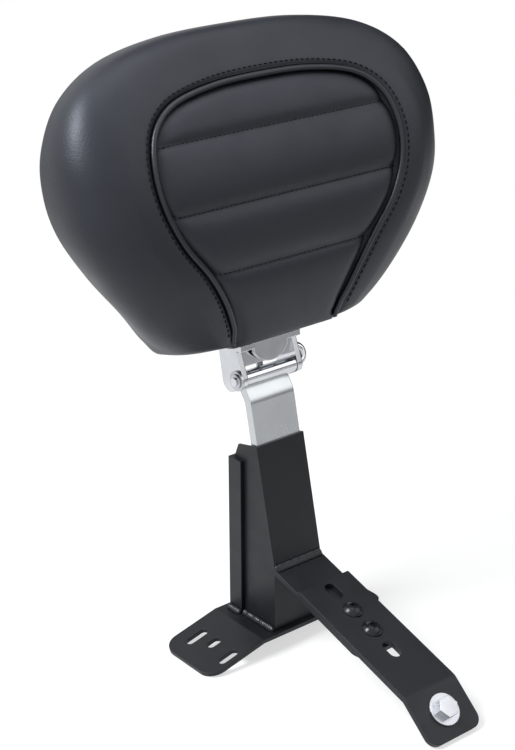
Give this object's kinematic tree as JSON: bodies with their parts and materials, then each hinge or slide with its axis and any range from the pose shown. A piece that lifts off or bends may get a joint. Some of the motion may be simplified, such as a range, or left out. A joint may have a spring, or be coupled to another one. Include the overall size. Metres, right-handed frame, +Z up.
{
  "type": "motorcycle driver backrest",
  "caption": "Padded driver backrest on a folding chrome post, held in a leaning steel receiver with a slotted saddle plate and an adjustable forward leg.",
  "frame": {"origin": "middle of the saddle plate's underside, on the machine's centre line", "axes": "+Z up along the receiver, -Y forwards along the leg and out of the pad's face, +Y backwards, X across"},
  "size_m": [0.3006, 0.2532, 0.4264],
  "materials": {
    "black_steel": "satin black powder coat",
    "chrome": "bright chrome plate",
    "zinc_steel": "bright zinc plate",
    "vinyl": "fine-grained black vinyl",
    "shell": "black vinyl-grained plastic",
    "board": "bare plywood"
  },
  "bodies": {
    "bracket": {"saddle_plate": "black_steel", "front_channel": "black_steel", "rear_channel": "black_steel", "guide_plate": "black_steel", "fixed_leg": "black_steel", "weld_beads": "black_steel", "leg_screws": "black_steel", "leg_nuts": "black_steel", "lock_nut": "black_steel", "lock_screw": "black_steel"},
    "leg_slide": {"leg_extension": "black_steel", "tip_bolt": "zinc_steel", "tip_washer": "zinc_steel"},
    "post": {"post_bar": "chrome", "hinge_barrel": "chrome", "hinge_pin": "chrome", "pin_washer": "zinc_steel", "pin_clip": "zinc_steel"},
    "pad": {"hinge_bracket": "chrome", "stop_screw": "zinc_steel", "stop_nut": "zinc_steel", "bracket_bolts": "zinc_steel", "bracket_washers": "zinc_steel", "tee_nuts": "zinc_steel", "backboard": "board", "cushion": "vinyl", "insert_panel": "vinyl", "panel_welt": "vinyl", "back_cover": "shell", "rear_pouch": "vinyl"}
  },
  "joints": [
    {"name": "leg_adjust", "type": "slide", "parent": "bracket", "child": "leg_slide", "axis": [0, -0.9563, -0.2924], "range_m": [-0.003, 0.003]},
    {"name": "post_height", "type": "slide", "parent": "bracket", "child": "post", "axis": [0, 0.2181, 0.9759], "range_m": [-0.015, 0.03]},
    {"name": "pad_fold", "type": "hinge", "parent": "post", "child": "pad", "pos_m": [0, 0.01105, 0.18386], "axis": [1, 0, 0], "range_deg": [0, 80]}
  ]
}
